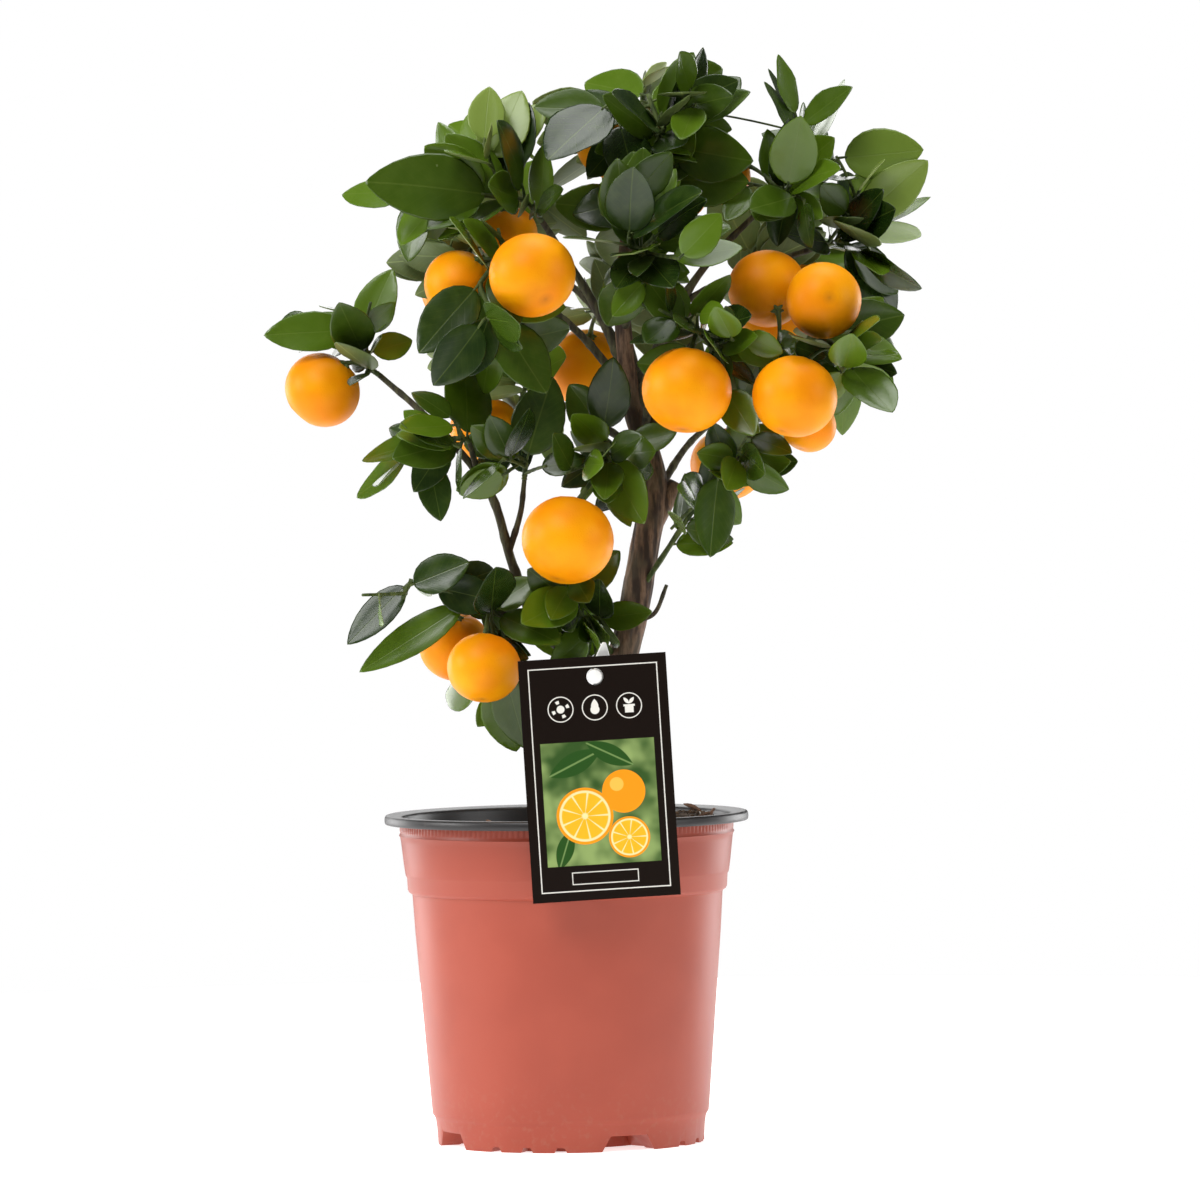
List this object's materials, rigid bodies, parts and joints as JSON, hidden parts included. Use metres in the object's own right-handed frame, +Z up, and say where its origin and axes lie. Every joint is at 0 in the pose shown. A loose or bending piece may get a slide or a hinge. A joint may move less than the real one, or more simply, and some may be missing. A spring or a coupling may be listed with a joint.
{
  "type": "potted calamondin tree",
  "caption": "Small potted citrus tree with a leaning trunk, glossy leaves and ripe orange fruit, in a terracotta-coloured nursery pot with a dark plant card.",
  "frame": {"origin": "on the ground at the pot's axis, in the middle of the pot's flat underside", "axes": "+Z up along the pot axis; the side that the card faces is -Y; +X is to the right of someone who looks at the card"},
  "size_m": [0.3492, 0.2449, 0.5671],
  "materials": {
    "terracotta_plastic": "matte moulded",
    "black_plastic": "satin",
    "peat": "loose peat with perlite",
    "card": "printed, satin",
    "white_plastic": "satin",
    "bark": "fissured bark",
    "green_wood": "young bark",
    "foliage": "glossy leaf"
  },
  "bodies": {
    "root": {"pot": "terracotta_plastic", "pot_lip": "black_plastic", "soil": "peat", "label_card": "card", "label_stick": "white_plastic", "trunk": "bark", "bough_left": "green_wood", "bough_left_side": "green_wood", "bough_inner": "green_wood", "bough_low": "green_wood", "bough_right": "green_wood", "bough_upper_right": "green_wood", "bough_far_right": "green_wood", "bough_upper_left": "green_wood", "bough_left_fruit": "green_wood", "bough_centre": "green_wood", "bough_front_right": "green_wood", "bough_back_top": "green_wood", "bough_back_left": "green_wood", "bough_back_right": "green_wood", "bough_back": "green_wood", "bough_back_low": "green_wood", "bough_back_side": "green_wood", "cut_stub": "green_wood", "bare_twig": "green_wood", "leaves_crown_top": "foliage", "leaves_top_right": "foliage", "leaves_right": "foliage", "leaves_right_fruit": "foliage", "leaves_centre_right": "foliage", "leaves_centre": "foliage", "leaves_upper_left": "foliage", "leaves_left": "foliage", "leaves_far_left": "foliage", "leaves_mid_left": "foliage", "leaves_inner": "foliage", "leaves_inner_left": "foliage", "leaves_lower_centre": "foliage", "leaves_bottom_left": "foliage", "leaves_right_twig": "foliage", "leaves_back_top": "foliage", "leaves_back_left": "foliage", "leaves_back_right": "foliage", "leaves_back": "foliage", "leaves_back_low": "foliage", "leaves_back_side": "foliage"}
  },
  "joints": []
}
